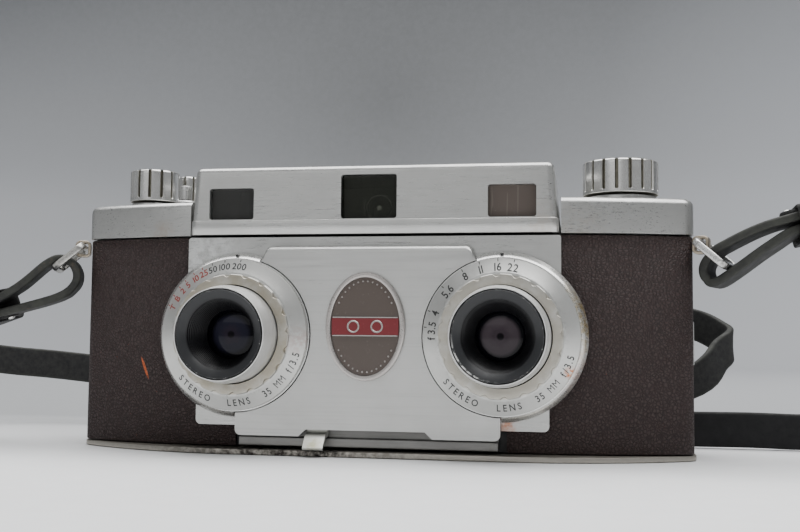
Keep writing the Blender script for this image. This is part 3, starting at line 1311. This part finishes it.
def fluted(count, depth, low, high):
    """Flat-bottomed flutes between two heights, open at the top."""
    def cut(angle, radius, station):
        if not low <= station <= high:
            return 0.0
        phase = (angle * count / tau) % 1.0
        if phase > FLUTE_SHARE:
            return 0.0
        rise = min(phase, FLUTE_SHARE - phase) / FLUTE_RAMP
        shallow = min(1.0, max(0.0, (station - low) / 0.35))
        return depth * min(1.0, rise) * shallow
    return cut


def knob_metal_finish(name, axis, radius):
    """Polished plate, dark with old grime down in the flutes."""
    made = Finish(name, (0.72, 0.715, 0.70), 0.27, 0.9)
    land = made.fit(made.radial((*axis, 0.0), (1, 1, 0)), radius - 0.42, radius - 0.16)
    land = made.maths("MAXIMUM", land, made.fit(made.axis("Z"), KNOB_TOP - 0.30, KNOB_TOP - 0.12))
    haze = made.noise(2.2, 4.0, 0.6)
    plate = made.mixed(made.fit(haze, 0.35, 0.7), (0.80, 0.795, 0.78), (0.70, 0.695, 0.67))
    grime = made.mixed(made.fit(made.noise(0.9, 3.0, 0.6), 0.3, 0.7), (0.15, 0.14, 0.105),
                       (0.30, 0.285, 0.235))
    made.paint(made.mixed(land, grime, plate))
    made.shine(made.fit(land, 0.0, 1.0, 0.5, 0.25))
    return made.material


def top_knob(node, body, axis, radius, flutes, shaft, depth):
    height = KNOB_TOP - KNOB_BOTTOM
    top = height - 0.001
    profile = [(shaft[0], shaft[1] - KNOB_BOTTOM), (shaft[0], -0.05), (radius - 0.35, 0.0),
               (radius - 0.1, 0.06),
               (radius, 0.2), (radius, 0.85)]
    profile += [(radius, 0.86 + 0.12 * k) for k in range(4)]
    profile += [(radius, height - 1.2), (radius, height - 0.9), (radius - 0.06, height - 0.5),
                (radius - 0.2, height - 0.25), (radius - 0.45, height - 0.08), (radius - 0.8, height - 0.02),
                (radius - 1.1, top), (radius - 1.6, top), (radius - 1.75, height - 0.12),
                (0.4, height - 0.12)]
    shape = turned(profile, (*axis, KNOB_BOTTOM), "Z", flutes * 22, looped=False,
                   cut=fluted(flutes, depth, 0.86, height - 0.21))
    add(f"{node}_grip", shape, knob_metal_finish(f"{node}_plate", axis, radius), body, "chrome", node,
        sharp=30)


def top_controls(satin):
    top_knob("advance_knob", "advance_knob", ADVANCE_AXIS, 7.0, 13, (1.5, 52.6), 0.95)
    top_knob("rewind_knob", "rewind", REWIND_AXIS, 10.1, 18, (1.5, 50.5), 0.85)
    top_knob("focus_knob", "focus_knob", FOCUS_AXIS, 3.1, 7, (1.0, 64.0), 0.55)
    for axis, radius, node, body in ((ADVANCE_AXIS, 6.6, "exposure_counter_dial", "exposure_counter_dial"),
                                     (REWIND_AXIS, 9.6, "rewind_knob_seat", "body")):
        profile = [(2.1, DECK_Z), (radius, DECK_Z), (radius, 68.4), (radius - 0.12, 68.72),
                   (radius - 0.45, 68.9),
                   (2.1, 68.9)]
        add(f"{node}_disc", turned(profile, (*axis, 0.0), "Z", 144), satin, body, "satin_aluminium", node)


def release_button(chrome):
    collar = [(1.95, DECK_Z), (2.9, DECK_Z), (2.9, 68.0), (2.6, 68.4), (1.95, 68.4)]
    collar = filleted(collar, (0, 0, 0.15, 0.15, 0.1), 4)
    centre = (*RELEASE_AXIS, 0.0)
    add("release_ring", turned(collar, centre, "Z", 96), chrome, "body", "chrome", "release_collar")
    stem = [(1.1, 60.0), (1.1, 68.9), (1.6, 68.95), (1.62, 71.3), (1.75, 71.5), (1.75, 72.25), (1.66, 72.5),
            (1.4, 72.66), (1.0, 72.7), (0.75, 72.4), (0.5, 71.6)]
    add("release_plunger", turned(stem, centre, "Z", 96, looped=False), chrome,
        "shutter_release", "chrome", "shutter_release")


# Strap lugs, rings and keepers

RING_DROP, RING_REACH, RING_HALF = 41.0, 9.6, 6.1    # degrees below level, length, half width
PIVOT_Z = 55.8
LUG_CENTRE, LUG_REACH = (79.2, -4.8), 6.3


def loop_stations(u0, u1, v0, v1, radius, steps):
    """Stations round a rectangle with round corners, and the way out at each."""
    normals = []
    for start in (-90, 0, 90, 180):
        normals += arc(0.0, 0.0, 1.0, start, start + 90, steps)
    return round_rectangle(u0, u1, v0, v1, radius, steps), normals


def ring_pivot(side):
    return Vector((side * LUG_CENTRE[0], LUG_CENTRE[1], PIVOT_Z)) + corner_frame(side)[0] * LUG_REACH


def ring_end(side):
    """The front end of a ring's outer bar."""
    out, along = corner_frame(side)
    drop = radians(RING_DROP)
    return ring_pivot(side) + (out * cos(drop) - UP * sin(drop)) * RING_REACH - along * RING_HALF


def lugs_and_rings(lug_finish, ring_finishes):
    for (side, label, _), ring_finish in zip(both_sides(), ring_finishes):
        out, along = corner_frame(side)
        pivot = ring_pivot(side)
        points, normals = loop_stations(-1.6, 1.9, -2.5, 1.4, 1.0, 10)
        line = [pivot + out * u + UP * v for u, v in points]
        lug = closed_band(line, [out * u + UP * v for u, v in normals], along, 0.8, 2.6, f"{label}_lug_strip",
                          lug_finish, 0.22)
        settle(lug, "body", "chrome", f"{label}_strap_lug")
        drop = radians(RING_DROP)
        down = out * cos(drop) - UP * sin(drop)
        across = out * sin(drop) + UP * cos(drop)
        points, normals = loop_stations(0.0, RING_REACH, -RING_HALF, RING_HALF, 1.6, 12)
        line = [pivot + down * u + along * v for u, v in points]
        facing_out = [down * u + along * v for u, v in normals]
        ring = closed_band(line, facing_out, across, 1.4, 1.9, f"{label}_wire_ring", ring_finish, 0.40)
        settle(ring, f"{label}_strap_ring", "chrome", f"{label}_strap_ring")


# Stage and light

SKY_TINT, SKY_STRENGTH = (0.80, 0.82, 0.84, 1.0), 0.30


def stage_and_light():
    """The paper stage, an even sky, a large lamp overhead and a weak one in front. Places in metres."""
    floor = make_piece("floor", *sweep_floor(), stage_paint())
    world = bpy.data.worlds.new("studio")
    world.use_nodes = True
    sky = world.node_tree.nodes["Background"].inputs
    sky["Color"].default_value, sky["Strength"].default_value = SKY_TINT, SKY_STRENGTH
    bpy.context.scene.world = world
    lamp("top_soft_box", (0.05, 0.10, 1.00), (0.0, 0.0, 0.0), (1.8, 1.0), 28.0)
    lamp("front_fill", (-0.35, -1.15, 0.60), (0.0, 0.0, 0.03), (0.9, 0.7), 1.6)


def lamp(name, place, target, size, power):
    data = bpy.data.lights.new(name, "AREA")
    data.shape = "RECTANGLE"
    data.size, data.size_y = size
    data.energy = power
    light = bpy.data.objects.new(name, data)
    light.location = place
    light.rotation_euler = (Vector(target) - Vector(place)).to_track_quat("-Z", "Y").to_euler()
    bpy.context.scene.collection.objects.link(light)


def sweep_floor():
    """A table top that sweeps up into a paper backdrop well behind the camera."""
    half, front, bend, radius, height = 2600.0, -1500.0, 900.0, 300.0, 2600.0
    line = [(front, 0.0), (bend, 0.0)]
    line += [(bend + radius * sin(radians(a)), radius - radius * cos(radians(a))) for a in range(6, 91, 6)]
    line += [(bend + radius, height)]
    rings = [[(x, y, z) for y, z in line] for x in (-half, half)]
    count = len(line)
    vertices = [p for ring in rings for p in ring]
    faces = [(i, i + 1, count + i + 1, count + i) for i in range(count - 1)]
    return vertices, faces


def stage_paint():
    """Pale table paper that turns grey where it rises, shaded behind the middle."""
    made = Finish("pale_paper", (0.80, 0.81, 0.82), 0.85, 0.0)
    tone = made.mixed(made.fit(made.axis("Y"), -45.0, 95.0), (0.96, 0.965, 0.97), (0.33, 0.336, 0.344))
    tone = made.mixed(made.fit(made.axis("Y"), 110.0, 900.0), tone, (0.50, 0.51, 0.53))
    tone = made.mixed(made.fit(made.axis("Z"), 228.0, 564.0), tone, (0.20, 0.207, 0.217))
    shade = made.near((-230.0, 1200.0, 380.0), 650.0, 1.0, (1, 0.3, 1))
    tone = made.mixed(shade, tone, (0.105, 0.108, 0.108), 0.72)
    glow = made.near((700.0, 1200.0, 330.0), 620.0, 1.0, (1, 0.3, 1))
    tone = made.mixed(glow, tone, (0.60, 0.62, 0.66), 0.7)
    mottle = made.fit(made.noise(7.0, 4.0, 0.6), 0.3, 0.7, 0.0, 0.06)
    made.paint(made.mixed(mottle, tone, (0.45, 0.47, 0.50)))
    return made.material


stage_and_light()

# Strap first, with everything that lies on it

leather_black = strap_leather()
chrome_plate = polished_metal("chrome_plate")
strap, strap_line = neck_strap(leather_black)
settle(strap, "body", "black_strap_leather", "neck_strap")
thread = waxed_thread()
stud_metal = polished_metal("stud_nickel", (0.78, 0.77, 0.75), 0.22)
on_strap = []
for side, label, ends in ((-1, "left", KEEPER_LEFT), (1, "right", KEEPER_RIGHT)):
    on_strap += keeper(side, label, *ends, leather_black, thread, stud_metal)

# The camera

TAN, BRASSY, RUST, BRIGHT = (0.42, 0.30, 0.20), (0.55, 0.42, 0.20), (0.42, 0.14, 0.05), (0.86, 0.87, 0.86)
ALL_WAYS = (1, 1, 1)
cap_metal = satin_metal("cap_plate", stains=(
    ((-57.5, -12.0, 59.0), 5.0, TAN, 0.7), ((54.0, -12.0, 59.0), 9.0, TAN, 0.25)))
housing_metal = satin_metal("housing_plate", stains=(((44.0, -18.0, 60.0), 9.0, TAN, 0.2),))
panel_metal = satin_metal("panel_plate", grain=(0.05, 1, 1), stains=(
    ((36.0, -17.0, 9.5), 4.0, RUST, 0.8), ((-46.0, -17.0, 30.0), 6.0, TAN, 0.3),
    ((-45.0, -14.0, 52.0), 14.0, BRIGHT, 0.7)))
cover_metal = satin_metal("cover_plate", (0.58, 0.58, 0.565), 0.38, (0.02, 1, 1), dirt=0.06)
base_metal = satin_metal("base_metal", (0.50, 0.47, 0.42), 0.38, (0.05, 1, 1), stains=(
    ((-22.0, -20.0, 1.0), 46.0, (0.035, 0.030, 0.026), 1.0),
    ((-10.5, -21.0, 1.5), 6.5, (0.01, 0.01, 0.01), 1.0)))
sill_metal = satin_metal("sill_plate", (0.27, 0.265, 0.255), 0.42, (0.05, 1, 1))
slide_metal = satin_metal("slide_plate", (0.62, 0.62, 0.58), 0.36, (1, 1, 0.1), stains=(
    ((-12.8, -23.0, 3.5), 2.6, (0.33, 0.31, 0.16), 0.7),))
collar_metal = satin_metal("collar_plate", (0.80, 0.80, 0.78), 0.27, ALL_WAYS, stains=(
    ((54.5, -19.0, 36.0), 12.0, BRASSY, 0.9), ((53.0, -19.0, 22.0), 8.0, RUST, 0.35)))
knob_metal = satin_metal("knob_plate", (0.66, 0.655, 0.64), 0.30, (1, 1, 0.05))
lug_metal = satin_metal("lug_plate", (0.50, 0.43, 0.34), 0.30, ALL_WAYS)
ring_metal_left = satin_metal("left_ring_plate", (0.54, 0.53, 0.50), 0.30, ALL_WAYS,
                              stains=((tuple(ring_end(-1)), 3.6, (0.05, 0.05, 0.05), 1.0),))
ring_metal_right = satin_metal("right_ring_plate", (0.72, 0.72, 0.71), 0.26, ALL_WAYS,
                               stains=((tuple(ring_end(1)), 3.6, (0.10, 0.095, 0.085), 1.0),))
enamel = black_enamel("black_enamel")
inside_black = black_enamel("inside_black", 0.7)
left_centre, right_centre = (LEFT_LENS.x, 0.0, LEFT_LENS.z), (RIGHT_LENS.x, 0.0, RIGHT_LENS.z)

leather_skins(leatherette())
base_and_bush(base_metal, polished_metal("bare_brass", (0.55, 0.42, 0.18), 0.3))
top_caps(cap_metal)
finder_housing(housing_metal, inside_black)
eyepieces(inside_black)
window_panes((window_glass("left_finder_glass", (0.20, 0.20, 0.19), 0.17),
              window_glass("middle_finder_glass", (0.16, 0.17, 0.13)),
              window_glass("right_finder_glass", (0.20, 0.165, 0.145), 0.55)))
lens_panel(panel_metal)
front_cover_plate(cover_metal)
maker_badge(satin_metal("nickel_plate", (0.50, 0.47, 0.45), 0.30, ALL_WAYS),
            plain_paint("badge_field_paint", (0.085, 0.065, 0.055), 0.35),
            plain_paint("badge_red", (0.17, 0.015, 0.02), 0.3))
cover_sill(sill_metal)
cocking_slide(slide_metal)
shutter_flanges(collar_metal, plain_paint("index_ink", (0.02, 0.02, 0.02)))
speed_stain = ((-17.0, -22.0, 30.0), 5.0, (0.40, 0.25, 0.22), 0.4)
aperture_stain = ((52.0, -22.0, 22.5), 2.0, (0.52, 0.16, 0.04), 1.0)
dials((dial_metal("speed_dial_plate", left_centre, 0.85, (speed_stain,)),
       dial_metal("aperture_dial_plate", right_centre, 0.6, (aperture_stain,))),
      plain_paint("number_ink", (0.03, 0.03, 0.03)), plain_paint("red_number_ink", (0.26, 0.04, 0.03)))
barrels((barrel_metal("left_barrel_plate", left_centre), barrel_metal("right_barrel_plate", right_centre)),
        enamel)
front_rings((name_ring_enamel("left_ring_enamel", left_centre),
             name_ring_enamel("right_ring_enamel", right_centre, (27.0, -33.0, 23.5))))
glasses((coated_lens("left_lens_glass", left_centre, (0.021, 0.021, 0.036)),
         coated_lens("right_lens_glass", right_centre, (0.085, 0.068, 0.078))))
top_controls(cap_metal)
release_button(knob_metal)
lugs_and_rings(lug_metal, (ring_metal_left, ring_metal_right))

# Nodes that keep their CAD shape take their slot's finish

SLOT_FINISH = {
    "satin_aluminium": cap_metal,
    "chrome": chrome_plate,
    "silvered_mirror": polished_metal("silvered_glass", (0.8, 0.8, 0.8), 0.05),
    "brown_leatherette": leatherette("inner_leather"),
    "black_casting": black_enamel("casting_paint", 0.5),
    "black_paint": enamel,
    "coated_glass": polished_metal("splitter_glass", (0.10, 0.10, 0.12), 0.05),
    "nickel_badge": cap_metal,
    "brass": polished_metal("spring_brass", (0.55, 0.42, 0.18), 0.3),
    "black_strap_leather": leather_black,
}
for subpart in frame["record"]["subparts"]:
    node = frame["nodes"][subpart["node"]]
    node.data.materials.clear()
    node.data.materials.append(SLOT_FINISH[subpart["material_slot"]])
